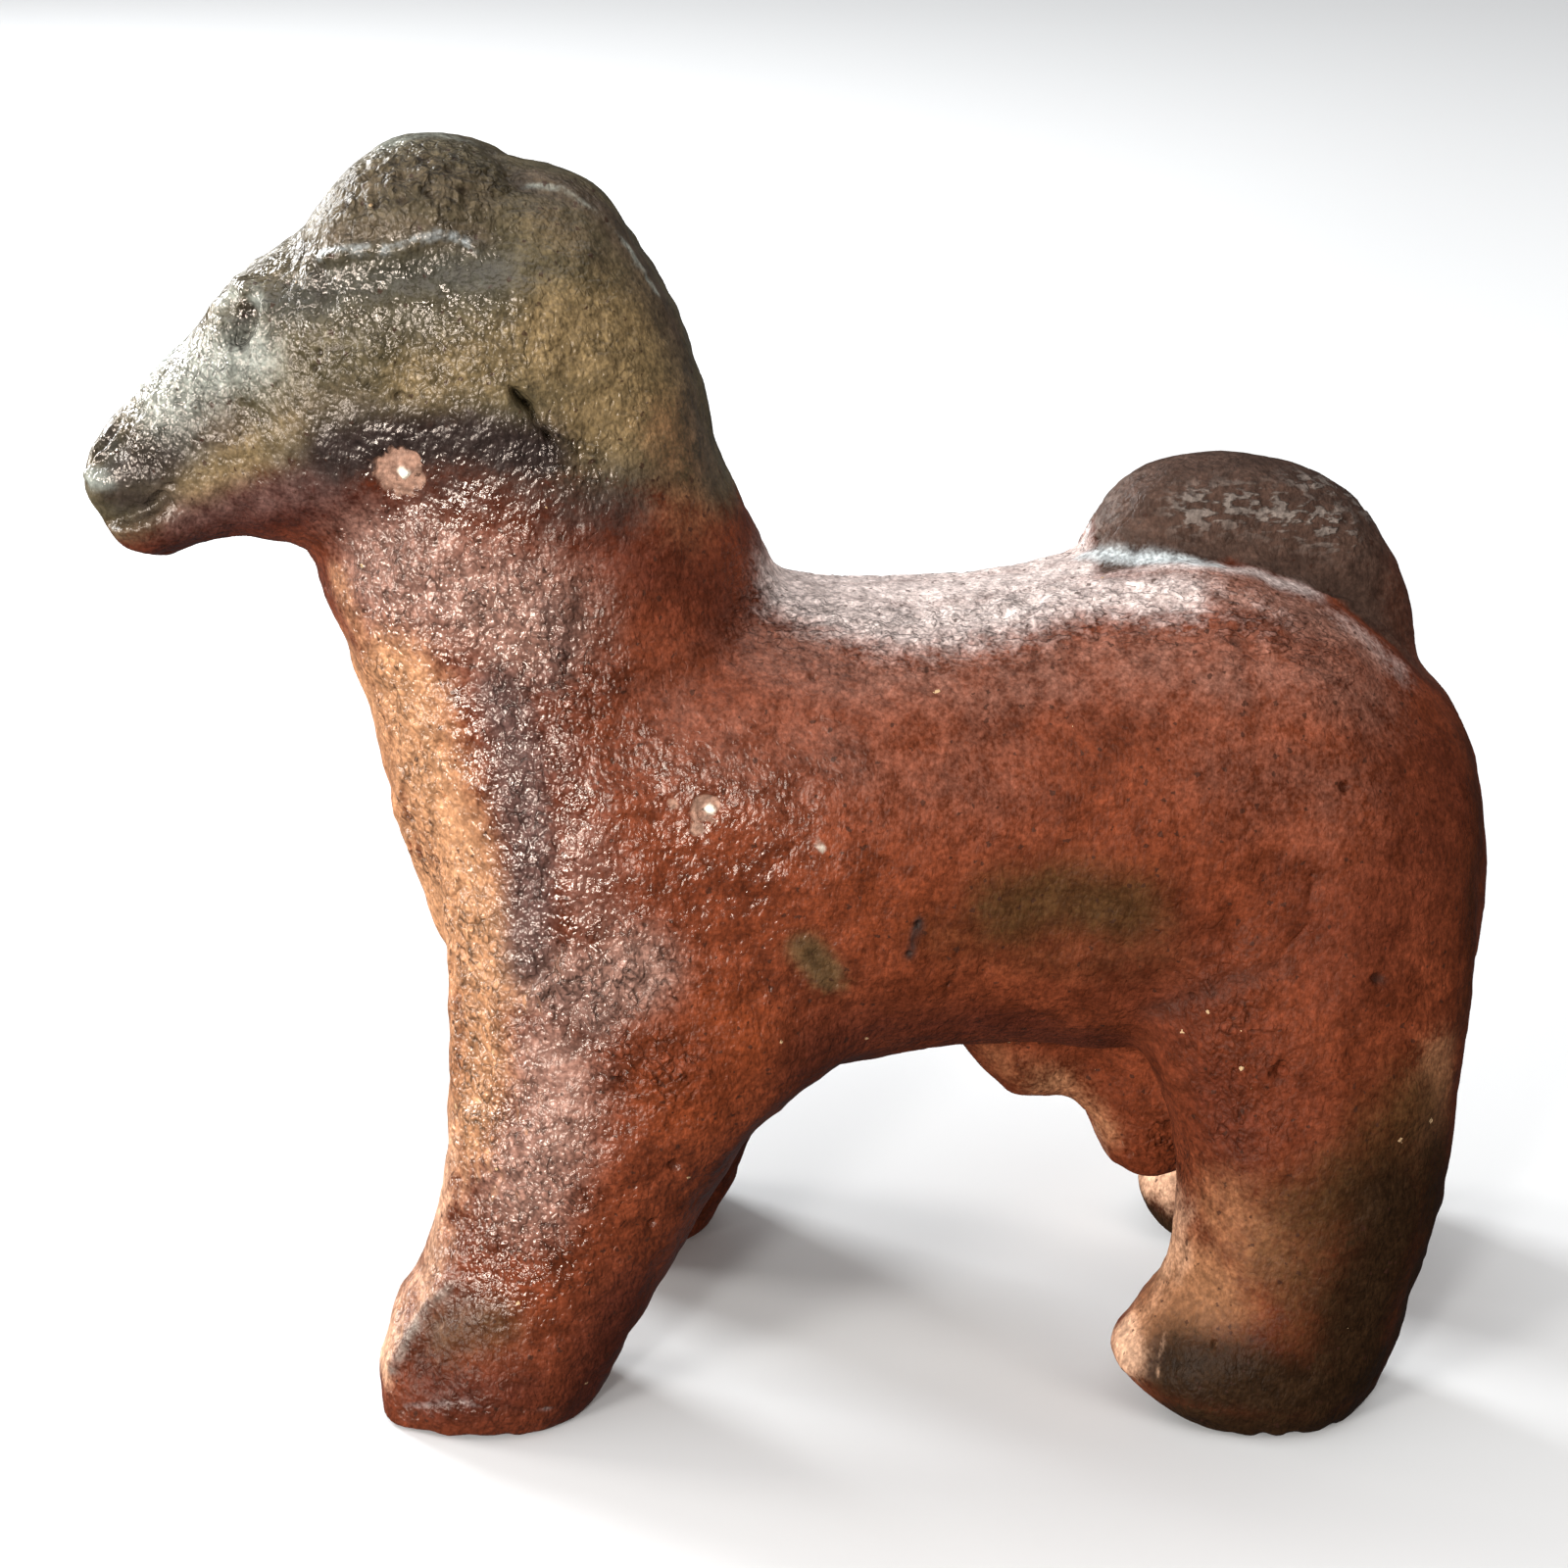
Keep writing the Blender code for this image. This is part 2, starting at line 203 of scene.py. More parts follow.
def on_the_tail(points):
    """1 on the tail, which lies above the groove that was pressed beside it."""
    groove = np.interp(points[:, 0], *tail_groove)
    return (
        eased(points[:, 0], 21.8, 23.2)
        * eased(points[:, 2] - groove, -0.5, 0.9)
        * eased(points[:, 1], -2.2, -0.9)
    )


def tail_crust(points):
    """Thicker crust on the middle and the upper side of the tail."""
    middle = [(1215, 518), (1260, 512), (1310, 522), (1365, 536)]
    top = [(1330, 488), (1365, 498), (1392, 520)]
    return on_the_tail(points) * np.maximum(patch(points, middle, 1.8), patch(points, top, 1.5))


def corners_of(mesh, what):
    """The places of the mesh's corners, or their outward directions."""
    values = np.empty(3 * len(mesh.vertices), np.float32)
    mesh.vertices.foreach_get(what, values)
    return values.reshape(-1, 3).astype(float)


def near_side(points):
    """The points with the far half laid over the near one, for what is on both sides."""
    return points * (1, -1, 1) * np.where(points[:, 1:2] > 0, 1, (1, -1, 1))


# Its marks: each is a line of pixels, how far it reaches and how far it lifts the clay, in
# millimetres. These are on both sides of the head.
face_marks = [
    ([(103, 452), (117, 433)], 0.48, -0.95),  # nostril
    ([(90, 474), (97, 456)], 0.35, -0.30),
    ([(86, 485), (100, 468), (128, 438)], 0.40, 0.38),  # its lower rim
    ([(96, 488), (104, 492)], 0.8, 0.25),
    ([(112, 532), (130, 528), (150, 521), (166, 508)], 0.50, -0.55),  # mouth
    ([(118, 541), (134, 541), (150, 535)], 0.85, 0.42),  # lower lip
    ([(168, 497), (177, 496)], 0.25, -0.3),
    ([(248, 306), (240, 326)], 2.2, 0.80),  # lump of the eye
    ([(244, 318), (252, 306), (264, 303), (272, 312)], 0.45, 0.24),  # its rim
    ([(272, 312), (268, 330), (257, 348)], 0.42, 0.30),
    ([(254, 318), (250, 331), (243, 344)], 0.85, -1.50),  # eye
    ([(252, 322), (245, 342)], 1.0, -0.45),
    ([(236, 362), (240, 384)], 0.6, 0.40),
    (
        [(326, 264), (352, 259), (375, 256), (411, 254), (430, 244), (449, 238), (470, 242),
         (488, 252)],
        0.48,
        0.36,
    ),  # ridge under the crown
    ([(335, 300), (400, 298), (470, 299), (535, 304)], 2.0, 0.30),  # filled in under the crown
    ([(300, 245), (322, 262), (330, 300)], 0.9, -0.22),
    ([(497, 150), (516, 176), (530, 190)], 0.9, -0.20),
    ([(545, 184), (572, 192), (600, 211), (640, 251), (670, 300), (690, 345)], 0.42, 0.13),  # crest
]
# These are on the near side alone.
folds_and_ridges = [
    ([(527, 402), (539, 416)], 0.42, -1.10),  # slit of a stick
    ([(539, 416), (551, 433), (560, 446)], 0.27, -0.80),
    ([(535, 398), (552, 416), (570, 443)], 0.45, 0.14),
    ([(571, 966), (558, 990), (536, 1005)], 0.36, -0.42),  # folds above the leg
    ([(585, 975), (566, 1004), (540, 1020)], 0.7, 0.32),
    ([(581, 1034), (578, 1060)], 0.22, -0.3),
    ([(666, 1004), (637, 1033), (600, 1062), (580, 1075)], 0.5, -0.16),
    ([(403, 700), (418, 725), (430, 760)], 0.6, 0.18),
    ([(412, 805), (414, 840), (424, 862)], 1.7, 0.35),
    ([(577, 616), (574, 663), (558, 679), (555, 711)], 0.9, 0.20),  # edge of the chest
    ([(588, 600), (590, 640), (572, 700)], 0.7, -0.20),
    ([(458, 1310), (436, 1332), (425, 1350), (408, 1380), (399, 1396)], 0.75, 0.34),  # toe
    ([(478, 1322), (446, 1352), (424, 1394)], 0.9, -0.14),
    ([(408, 1330), (404, 1360)], 0.5, -0.2),
    ([(405, 1437), (460, 1432), (520, 1436), (566, 1436)], 0.22, -0.12),
    ([(1172, 1032), (1240, 1010), (1302, 988)], 0.9, -0.22),  # fold of the thigh
    ([(1240, 1024), (1284, 1006)], 0.8, 0.20),
    ([(1170, 890), (1196, 904), (1222, 925), (1240, 945)], 0.5, 0.10),
    ([(1342, 606), (1378, 618), (1408, 640), (1430, 664)], 0.4, 0.26),  # joint of the tail
    ([(1096, 560), (1140, 560), (1200, 556), (1250, 562)], 0.6, -0.16),
    ([(1140, 1376), (1160, 1406)], 0.9, 0.25),
    ([(1180, 1368), (1172, 1402)], 0.6, -0.28),
]
cracks = [
    ([(1340, 893), (1338, 918), (1334, 944)], 0.11, -0.24),
    ([(1334, 944), (1322, 960), (1309, 975)], 0.10, -0.22),
    ([(1334, 944), (1341, 955), (1343, 966)], 0.10, -0.22),
    ([(1288, 893), (1287, 906)], 0.12, -0.2),
    ([(978, 984), (972, 996), (967, 1006)], 0.13, -0.26),
    ([(1000, 972), (1008, 984), (1004, 996)], 0.10, -0.16),
    ([(1264, 1046), (1280, 1052), (1276, 1066)], 0.11, -0.2),
    ([(545, 1010), (528, 1018)], 0.12, -0.2),
    ([(598, 1012), (584, 1030), (570, 1036)], 0.12, -0.25),
    ([(584, 1030), (596, 1048)], 0.11, -0.2),
    ([(610, 1088), (622, 1098), (640, 1104)], 0.16, -0.3),
]
# Pits and chips are a pixel, a radius and a depth, and grits a pixel and a radius.
pits = [
    (405, 405, 0.42, 0.42), (345, 355, 0.30, 0.25), (347, 547, 0.35, 0.5), (212, 393, 0.26, 0.45),
    (322, 375, 0.30, 0.35), (328, 360, 0.22, 0.3), (608, 1094, 0.32, 0.4), (634, 1104, 0.34, 0.35),
    (688, 1189, 0.45, 0.40), (666, 1250, 0.42, 0.42), (936, 942, 0.24, 0.20),
    (927, 972, 0.22, 0.20), (1373, 803, 0.40, 0.45), (1255, 732, 0.28, 0.25),
    (1405, 998, 0.55, 0.35), (1308, 1093, 0.55, 0.60), (1115, 650, 0.45, 0.22),
    (1260, 655, 0.45, 0.25), (750, 673, 0.35, 0.22), (830, 692, 0.30, 0.20),
    (1238, 1371, 0.30, 0.35), (1140, 1166, 0.40, 0.35), (1152, 1178, 0.34, 0.30),
    (446, 760, 0.40, 0.45), (428, 762, 0.28, 0.35), (418, 778, 0.30, 0.35), (436, 785, 0.25, 0.3),
    (424, 800, 0.26, 0.3), (452, 815, 0.28, 0.35), (460, 742, 0.24, 0.25), (440, 742, 0.26, 0.25),
    (375, 182, 0.40, 0.30), (402, 163, 0.34, 0.26), (431, 160, 0.44, 0.32), (457, 174, 0.36, 0.26),
    (472, 194, 0.44, 0.30), (438, 198, 0.34, 0.24), (410, 205, 0.46, 0.30), (384, 208, 0.34, 0.26),
    (352, 212, 0.40, 0.26), (497, 178, 0.36, 0.26), (1110, 526, 0.45, 0.6), (1118, 545, 0.30, 0.45),
    (404, 1330, 0.35, 0.4), (1128, 1430, 0.3, 0.3),
]
chips = [
    (406, 484, 1.95, 0.30), (719, 826, 1.05, 0.20), (712, 845, 0.5, 0.12), (687, 821, 0.42, 0.12),
]
grits = [(411, 483, 0.50), (724, 826, 0.42), (838, 865, 0.42), (686, 822, 0.22)]
grit_height = 0.22
near_waver = 0.10
# How dark the painted shade in a hollow is, for each millimetre of its depth.
shade_per_depth = 2.2


def chipped(points, x, y, radius):
    """1 inside the ragged outline of a chip."""
    place = seen_at((x, y))
    here = close_to(points, place, radius)
    near = points[here]
    ragged = radius * (1 + 0.13 * uneven(near, 0.8, 11) + 0.17 * uneven(near, 0.36, 12))
    much = np.zeros(len(points))
    much[here] = 1 - eased(distance_to(near, place), 0.93 * ragged, 1.07 * ragged)
    return much


def grit(points, x, y, radius):
    """1 on a white grain of the temper that shows in the skin."""
    place = seen_at((x, y))
    here = close_to(points, place, radius)
    gap = distance_to(points[here], place) * (1 + 0.2 * uneven(points[here], 0.4, 26))
    much = np.zeros(len(points))
    much[here] = 1 - eased(gap, 0.6 * radius, 1.1 * radius)
    return much


def marks_on(points):
    """How far the marks lift the clay at each point, and how much painted shade lies in their
    hollows.
    """
    lift = np.zeros(len(points))
    hollow_shade = np.zeros(len(points))
    strokes = [(near_side(points), 0.0, *mark) for mark in face_marks]
    strokes += [(points, near_waver, *mark) for mark in folds_and_ridges + cracks]
    for where, waver, pixels, reach, rise in strokes:
        line = seen_at(*pixels)
        here = close_to(where, line, reach + waver)
        wander = np.stack([uneven(where[here], 0.8, seed) for seed in (21, 22, 23)], axis=1)
        nearness = np.exp(-((distance_to(where[here] + waver * wander, line) / reach) ** 2))
        lift[here] += rise * nearness * np.clip(1 + 0.4 * uneven(where[here], 1.1, 27), 0.4, 1.6)
        hollow_shade[here] = np.maximum(hollow_shade[here], nearness * np.clip(-shade_per_depth * rise, 0, 1))
    for x, y, radius, deep in pits:
        place = seen_at((x, y))
        here = close_to(points, place, radius)
        gap = distance_to(points[here], place) * (1 + 0.25 * uneven(points[here], 0.5, 24))
        hollow = 1 - eased(gap, 0.45 * radius, 1.35 * radius)
        lift[here] -= deep * hollow
        hollow_shade[here] = np.maximum(hollow_shade[here], hollow * np.clip(shade_per_depth * deep, 0, 1))
    for x, y, radius, deep in chips:
        lift -= chipped(points, x, y, radius) * deep
    for x, y, radius in grits:
        lift += grit_height * grit(points, x, y, radius)
    return lift, hollow_shade


# The skin gets a finer grain where the marks are narrow.
round_lines, round_pits = 0.5, 0.6
points = corners_of(figurine.data, "co")
fine = np.zeros(len(points), bool)
for where, narrow in ((near_side(points), face_marks), (points, folds_and_ridges + cracks)):
    for pixels, reach, _ in narrow:
        line = seen_at(*pixels)
        here = close_to(where, line, reach)
        fine[here] |= distance_to(where[here], line) < reach + round_lines
for x, y, radius, _ in pits + chips:
    place = seen_at((x, y))
    here = close_to(points, place, radius)
    fine[here] |= distance_to(points[here], place) < radius + round_pits
shape = bmesh.new()
shape.from_mesh(figurine.data)
shape.verts.ensure_lookup_table()
fine_edges = [edge for edge in shape.edges if all(fine[end.index] for end in edge.verts)]
bmesh.ops.subdivide_edges(shape, edges=fine_edges, cuts=1, use_grid_fill=True)
bmesh.ops.triangulate(shape, faces=[face for face in shape.faces if len(face.verts) > 4])
shape.to_mesh(figurine.data)
shape.free()

# The clay is pressed and raised along its own outward direction: by low lumps of four
# sizes, by wrinkles, crust and marks, and by small pits strewn at random.
wrinkle_height = 0.26
crust_height = 0.14
strewn_pits = 240
points = corners_of(figurine.data, "co")
outward = corners_of(figurine.data, "normal")

lift = 0.16 * uneven(points, 11.0, 1) + 0.15 * uneven(points, 4.6, 2)
lift += 0.085 * uneven(points, 1.9, 3) + 0.035 * uneven(points, 0.9, 4)
creased = 1 - np.abs(uneven(points * (1.0, 1.0, 0.75), 0.95, 5))
lift += wrinkle_height * wrinkled_at(points) * (creased - 0.55)
flaked = uneven(points * (0.6, 0.8, 1.5), 0.85, 6) + 0.5 * uneven(points, 0.5, 7)
flaked = eased(flaked, 0.25, 0.60)
lift += crust_height * (back_crust(points) + tail_crust(points)) * flaked
lift += marks_on(points)[0]
chance = np.random.default_rng(31)
pit_places = points[chance.choice(len(points), strewn_pits, replace=False)]
pit_radii = chance.uniform(0.18, 0.42, strewn_pits)
pit_depths = chance.uniform(0.10, 0.30, strewn_pits)
for place, radius, deep in zip(pit_places, pit_radii, pit_depths):
    close = np.abs(points - place).max(axis=1) < 1.0
    gap = np.linalg.norm(points[close] - place, axis=1)
    lift[close] -= deep * (1 - eased(gap, 0.4 * radius, 1.4 * radius))
# The soles stay level.
off_the_ground = eased(points[:, 2], 0.05, 2.2)
points += (lift * off_the_ground)[:, None] * outward
points[:, 2] = np.maximum(points[:, 2], 0)
figurine.data.vertices.foreach_set("co", points.astype(np.float32).ravel())
figurine.data.update()

thin = figurine.modifiers.new("thin", "DECIMATE")
triangles = sum(polygon.loop_total - 2 for polygon in figurine.data.polygons)
thin.ratio = min(1.0, most_triangles / triangles)
thin.use_collapse_triangulate = True
settled(figurine)

# What the fire and the ground left on it, and the painted light and shade: how much of each shows
# at each place.
points = corners_of(figurine.data, "co")
folded = near_side(points)
x, y, z = points.T
ahead_of_it = -corners_of(figurine.data, "normal")[:, 0]


def above(pixels, blur):
    """1 above a line drawn along the near side and 0 below it, on both sides."""
    line = seen_at(*pixels)
    return eased(z - np.interp(x, line[:, 0], line[:, 2]), -blur, blur)


def on_both(strokes):
    return strongest(folded, strokes)


def on_near(strokes):
    return strongest(points, strokes)


before_the_back = 1 - eased(x, -6.0, 4.0)
front_end = 1 - eased(x, -22, -16)
# Painted light: the faces of the chest that turn to the lamps at the left are made lighter.
lit_chest_front = (
    eased(ahead_of_it, 0.35, 0.85) * front_end * eased(z, 12, 26) * (1 - eased(z, 54, 64))
)
# Painted light: the faces of the shins that turn to the lamps at the left are made lighter.
lit_front_shins = eased(ahead_of_it, 0.40, 0.95) * front_end * (1 - eased(z, 14, 30))
hind_faces = np.where(
    y > 0, eased(ahead_of_it, 0.25, 0.80), 0.6 * eased(ahead_of_it, 0.70, 0.96)
)
lit_hind_shins = eased(x, 16, 20) * (1 - eased(z, 16, 20)) * hind_faces
lit_shin_fronts = eased(z, 1.5, 5.0) * np.maximum(lit_front_shins, lit_hind_shins)
hind_feet = (1 - eased(z, 1.0, 7.0)) * eased(x, 24, 30)
rear_half = eased(x, -6, 10)
low_far_side = eased(y, -4, 6) * (1 - eased(z, 40, 50))
finishes = {
    # Brighter red on the shoulder, the near legs and the front of the belly.
    "ember": on_near([
        ([(640, 820), (760, 860), (860, 880)], 7.0, 0.35),
        ([(690, 1030), (740, 1060), (700, 1110)], 5.0, 0.8),
        ([(720, 960), (800, 930), (900, 930)], 5.0, 0.35),
        ([(620, 1150), (600, 1250), (580, 1340)], 4.0, 0.35),
        ([(1240, 1110), (1260, 1180)], 4.6, 0.6),
        ([(1130, 1120), (1165, 1190)], 3.4, 0.6),
        ([(512, 1040), (530, 1090)], 2.4, 0.4),
    ]),
    # Darker red under the jaw, at the root of the neck, on the belly, rump and legs.
    "maroon": on_both([
        ([(180, 545), (250, 522), (330, 508), (390, 545)], 3.8, 1.0),
        ([(600, 560), (680, 570), (740, 620)], 5.0, 0.5),
        ([(830, 1080), (900, 1052), (1000, 1045), (1110, 1060)], 4.0, 0.6),
        ([(1380, 960), (1440, 900), (1480, 800)], 7.0, 0.4),
        ([(1180, 1000), (1250, 1100), (1300, 1180)], 8.0, 0.4),
        ([(640, 1330), (600, 1420)], 5.0, 0.7),
        ([(1240, 1110), (1260, 1180)], 4.6, 0.6),
        ([(1130, 1120), (1165, 1190)], 3.4, 0.4),
        ([(690, 1060), (720, 1100)], 4.0, 0.35),
        ([(440, 1425), (540, 1420)], 3.2, 0.6),
    ]),
    # Khaki over the head and the top of the neck, down to a line below the jaw.
    "khaki": before_the_back * above(
        [(95, 545), (170, 528), (215, 502), (260, 478), (330, 458), (400, 440), (470, 436),
         (540, 455), (620, 485), (700, 505), (742, 515)], 2.6),
    # Brown on the crown, the nape, the crest and the cheeks.
    "umber": np.maximum(
        on_both([
            ([(655, 300), (700, 400), (725, 480)], 3.0, 0.75),
            ([(360, 200), (420, 180), (480, 200)], 3.6, 0.50),
            ([(300, 430), (360, 412)], 2.6, 0.50),
            ([(340, 240), (420, 235), (490, 240)], 1.7, 0.6),
            ([(130, 490), (170, 462), (220, 440)], 3.6, 0.9),
            ([(560, 215), (610, 260)], 2.6, 0.5),
        ]),
        on_near([([(540, 185), (600, 205), (650, 265), (690, 340)], 1.9, 0.9)]),
    ),
    # Yellower along the jaw and on the neck, and in a small spot behind the front leg.
    "tan": on_both([
        ([(200, 494), (260, 466), (306, 446)], 2.2, 0.65),
        ([(430, 392), (520, 365)], 3.6, 0.55),
        ([(580, 350), (620, 340), (650, 400), (610, 435)], 4.8, 0.95),
        ([(560, 240), (610, 290)], 3.0, 0.3),
        ([(822, 968), (846, 998)], 1.3, 0.8),
    ]),
    # Pale brown on the hind legs, at the nape and on the sheath.
    "buff": on_both([
        ([(1190, 1290), (1225, 1320), (1180, 1350)], 4.6, 0.95),
        ([(1255, 1240), (1290, 1280)], 4.4, 0.6),
        ([(1450, 1110), (1440, 1200)], 3.0, 0.3),
        ([(680, 440), (700, 520)], 3.6, 0.40),
        ([(1015, 1080), (1060, 1105)], 2.4, 0.35),
    ]),
    # Pale grey down the face, partly the clay's own and partly painted highlight; the thin pale
    # lines along the top of the face, the crown and the crest, round the eye, by the nostril and on
    # the ridge of the front toe are painted highlight.
    "ash_and_painted_highlight": on_both([
        ([(170, 410), (200, 380), (250, 360)], 3.4, 0.7),
        # Painted highlight along the top of the face.
        ([(300, 235), (240, 285), (170, 370), (110, 430)], 2.4, 1.0),
        # Painted highlight along the edge of the crest.
        ([(535, 189), (572, 193), (600, 212), (640, 252), (670, 301)], 0.32, 0.7),
        ([(330, 200), (360, 165), (400, 145), (470, 140)], 1.6, 0.55),
        ([(94, 488), (108, 490)], 0.9, 1.0),
        ([(230, 314), (244, 300), (260, 299), (268, 314)], 0.8, 0.9),
        # Painted highlight on the ridge of the front toe.
        ([(459, 1313), (436, 1334), (415, 1368), (401, 1396)], 0.7, 0.5),
    ]),
    # Dark grey behind the eye, under the crown, on the muzzle and along the jaw, and painted shade
    # under the upper lip.
    "slate_and_painted_shade": on_both([
        ([(296, 306), (340, 300)], 2.4, 0.75),
        ([(135, 482), (160, 464), (190, 452)], 2.6, 0.55),
        ([(330, 290), (400, 285), (500, 280)], 2.6, 0.7),
        ([(370, 315), (430, 320)], 3.0, 0.4),
        ([(108, 450), (122, 476)], 2.2, 0.7),
        # Painted shade under the upper lip.
        ([(120, 520), (150, 515)], 1.4, 0.40),
        ([(300, 470), (380, 455), (470, 455), (560, 480), (640, 505)], 3.2, 0.5),
    ]),
    # Orange down the chest and the front leg, under the belly and behind the hind leg, and painted
    # light on the faces of the chest that turn to the lamps at the left.
    "amber_and_painted_light": np.maximum.reduce([
        on_both([
            ([(345, 590), (372, 660)], 1.6, 0.5),
            ([(404, 700), (430, 780), (455, 850), (474, 920), (488, 985)], 4.3, 1.0),
            ([(488, 1000), (492, 1080), (480, 1150)], 3.0, 0.8),
            ([(1075, 1110), (1120, 1150)], 2.4, 0.45),
            ([(1468, 1080), (1460, 1160)], 2.6, 0.5),
        ]),
        lit_chest_front * np.clip(0.80 + 0.16 * uneven(points, 5.5, 42), 0.5, 0.95),
    ]),
    # Pinkish on the throat and the front leg, and below the top of the back.
    "fawn": np.maximum(
        on_both([([(390, 590), (450, 600), (540, 630)], 5.6, 0.82)]),
        on_near([
            ([(550, 1000), (600, 1016), (650, 990)], 3.6, 0.9),
            ([(560, 1080), (560, 1150), (530, 1220)], 4.4, 0.80),
            ([(590, 860), (610, 940)], 3.4, 0.35),
            ([(520, 1270), (470, 1310)], 3.0, 0.12),
            (
                [(800, 668), (900, 692), (1000, 690), (1120, 668), (1250, 680), (1400, 700)],
                5.0,
                0.36,
            ),
            ([(1180, 590), (1260, 602), (1330, 628), (1400, 664)], 3.4, 0.55),
            ([(700, 760), (860, 760), (1000, 780)], 7.0, 0.22),
            ([(1250, 760), (1350, 800)], 7.0, 0.2),
        ]),
    ),
    # Purplish grey in a band beside the chest and under the jaw.
    "mauve": np.maximum(
        on_both([
            ([(512, 712), (528, 780), (540, 870), (536, 985)], 2.6, 0.85),
            ([(188, 532), (250, 510), (330, 494)], 2.4, 0.55),
        ]),
        on_near([
            ([(562, 620), (572, 660), (556, 700)], 1.6, 0.5),
            ([(555, 1010), (600, 1030)], 3.0, 0.4),
            ([(560, 760), (600, 900)], 3.4, 0.35),
        ]),
    ),
    # Olive in two spots low on the flank, on the hind leg and on the front foot.
    "olive": np.maximum(
        on_both([
            ([(1030, 928), (1090, 918), (1150, 930)], 3.9, 0.85),
            ([(960, 950), (1060, 975), (1180, 975)], 3.4, 0.35),
            ([(1340, 1240), (1400, 1200), (1440, 1130)], 4.8, 0.75),
            ([(1320, 1290), (1350, 1340)], 5.0, 0.6),
        ]),
        on_near([([(820, 965), (848, 1000)], 1.5, 0.75), ([(455, 1360), (505, 1350)], 2.8, 0.7)]),
    ),
    # Smoke black under the jaw, on the muzzle, on the crest and over the tail, and painted shade
    # under the upper lip and in the nostril.
    "smoke_and_painted_shade": on_both([
        ([(340, 462), (400, 452), (480, 450), (550, 462)], 2.8, 0.95),
        ([(430, 485), (520, 500), (620, 520)], 3.2, 0.55),
        ([(938, 940), (928, 974)], 0.5, 0.8),
        # Painted shade under the upper lip.
        ([(114, 508), (146, 512)], 1.3, 0.60),
        ([(128, 478), (168, 470)], 2.2, 0.60),
        ([(600, 200), (645, 248), (682, 320), (704, 372)], 1.2, 0.40),
        ([(1170, 468), (1250, 456), (1330, 478)], 2.6, 0.45),
        ([(133, 448), (138, 460)], 1.2, 0.5),
        # Painted shade in the nostril.
        ([(100, 460), (112, 440)], 1.0, 0.7),
    ]),
    # Soot black on the hind feet and up the back of the hind legs, and painted shade down the rear
    # edge of the rump, which is turned from the lamps.
    "soot_and_painted_shade": np.maximum.reduce([
        0.95 * hind_feet,
        on_both([
            ([(1425, 1230), (1410, 1300), (1380, 1390)], 5.6, 0.95),
            ([(1462, 1190), (1462, 1260), (1440, 1350)], 5.0, 0.85),
            ([(1200, 1398), (1270, 1412), (1350, 1420), (1400, 1400)], 4.4, 1.0),
            # Painted shade down the rear edge of the rump.
            ([(1500, 760), (1507, 900), (1495, 1040)], 3.0, 0.5),
        ]),
    ]),
    # The tail is brown, and less so where it joins the rump.
    "tail_brown": on_the_tail(points) * (1 - 0.5 * eased(x, 42, 48)),
    # Cream on the toes, partly the clay's own, and painted light on the fronts of the shins and
    # toes, which face the lamps at the left.
    "cream_and_painted_light": np.maximum(
        lit_shin_fronts * np.clip(0.68 + 0.20 * uneven(points, 4.2, 41), 0.4, 0.85),
        on_both([([(1147, 1358), (1152, 1384)], 1.7, 0.9), ([(403, 1330), (400, 1366)], 1.2, 0.6)]),
    ),
    # Painted highlight and reflection: bluish white glints along the edge of the tail and on the
    # ridge under the crown.
    "painted_highlight": on_near([
        ([(1105, 566), (1160, 568), (1240, 575)], 0.95, 0.68),
        ([(1106, 546), (1112, 520), (1128, 498)], 0.6, 0.5),
        ([(328, 260), (350, 257), (375, 255)], 0.42, 0.9),
        ([(392, 255), (411, 252), (430, 243), (449, 238)], 0.40, 1.0),
        ([(449, 238), (470, 243), (486, 254)], 0.36, 0.85),
    ]),
    # The whitish deposit on the back, beside the tail and at the front sole.
    "bloom": (1 - 0.85 * on_the_tail(points)) * on_both([
        ([(808, 606), (850, 622), (920, 632), (1000, 628), (1080, 606)], 4.0, 1.0),
        ([(815, 592), (880, 602), (960, 602), (1040, 590), (1090, 576)], 4.4, 1.0),
        ([(1080, 608), (1160, 604), (1200, 606)], 3.4, 0.85),
        ([(1100, 582), (1180, 576), (1260, 580), (1330, 600)], 1.8, 0.7),
        ([(1230, 612), (1290, 626)], 3.0, 0.28),
        ([(1370, 632), (1425, 675)], 2.2, 0.34),
        ([(412, 1436), (470, 1431), (560, 1436)], 0.30, 0.36),
    ]),
}

# How the skin is there: wrinkled, crusted, rubbed to a shine, chipped, gritty or matt, and how deep
# the painted shade in its hollows is.
finishes["wrinkle"] = wrinkled_at(points)
finishes["crust"] = np.maximum(back_crust(points), tail_crust(points))
finishes["shine"] = on_near([
    ([(100, 470), (190, 380), (270, 300)], 3.0, 1.0),
    ([(300, 235), (240, 285), (170, 370)], 2.5, 1.0),
    ([(340, 290), (420, 300), (500, 290)], 3.2, 0.8),
    ([(326, 263), (375, 255), (411, 253), (449, 237), (488, 251)], 0.9, 1.0),
    ([(400, 490), (500, 520), (600, 480)], 4.6, 0.9),
    ([(400, 620), (480, 620), (550, 640)], 6.0, 1.0),
    ([(520, 760), (560, 900), (600, 1010)], 6.0, 1.0),
    ([(500, 1100), (545, 1200), (530, 1280)], 6.0, 0.8),
    ([(720, 820), (760, 900)], 7.0, 0.6),
])
finishes["hollow_shade"] = marks_on(points)[1]
finishes["chip"] = np.maximum.reduce([chipped(points, *chip[:3]) for chip in chips])
finishes["grit"] = np.maximum.reduce([grit(points, *grain) for grain in grits])
